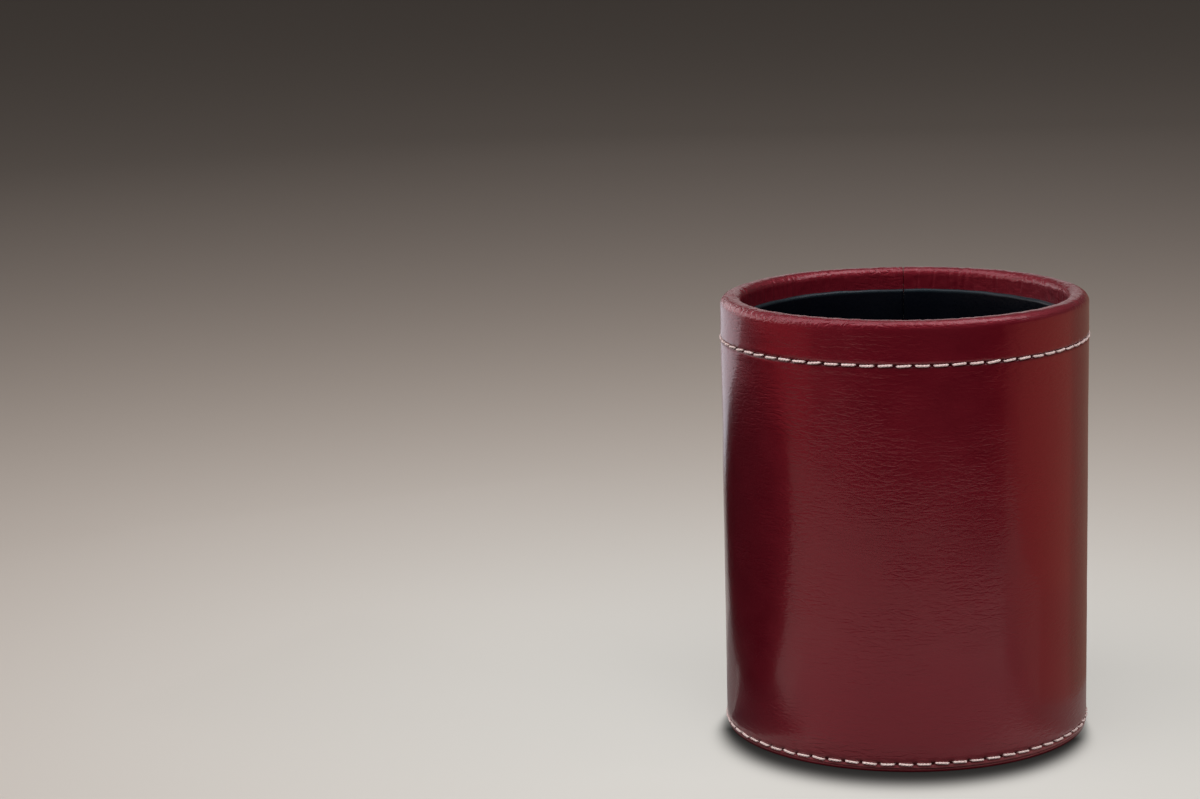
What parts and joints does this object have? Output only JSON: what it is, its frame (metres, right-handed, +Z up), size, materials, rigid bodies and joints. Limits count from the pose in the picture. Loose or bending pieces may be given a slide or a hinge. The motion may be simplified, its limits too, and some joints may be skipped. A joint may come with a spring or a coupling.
{
  "type": "pen cup",
  "caption": "Round leather-covered pen cup with a turned rim, contrast-stitched edges and a card-stiffened dark lining; stands open-topped on a desk and holds pens.",
  "frame": {"origin": "centre of the base cover's underside, on the desk", "axes": "+Z up along the cup's axis; +Y towards the butt seams of the wrap and the lining, so -Y is the front"},
  "size_m": [0.0836, 0.0836, 0.1],
  "materials": {
    "burgundy_leather": "smooth corrected grain, satin to semi-gloss, mottled burgundy",
    "sewing_thread": "three-ply twisted polyester thread, pale cream-pink",
    "bobbin_thread": "twisted polyester thread",
    "grey_board": "raw wound grey board",
    "lining_card": "black card",
    "black_lining": "black lining sheet, fine matte grain with a slight sheen"
  },
  "bodies": {
    "root": {"leather_wrap": "burgundy_leather", "base_cover": "burgundy_leather", "top_stitches": "sewing_thread", "bottom_stitches": "sewing_thread", "top_bobbin_thread": "bobbin_thread", "bottom_bobbin_thread": "bobbin_thread", "core_tube": "grey_board", "base_board": "grey_board", "lining_card": "lining_card", "floor_card": "lining_card", "lining_cover": "black_lining", "floor_cover": "black_lining"}
  },
  "joints": []
}
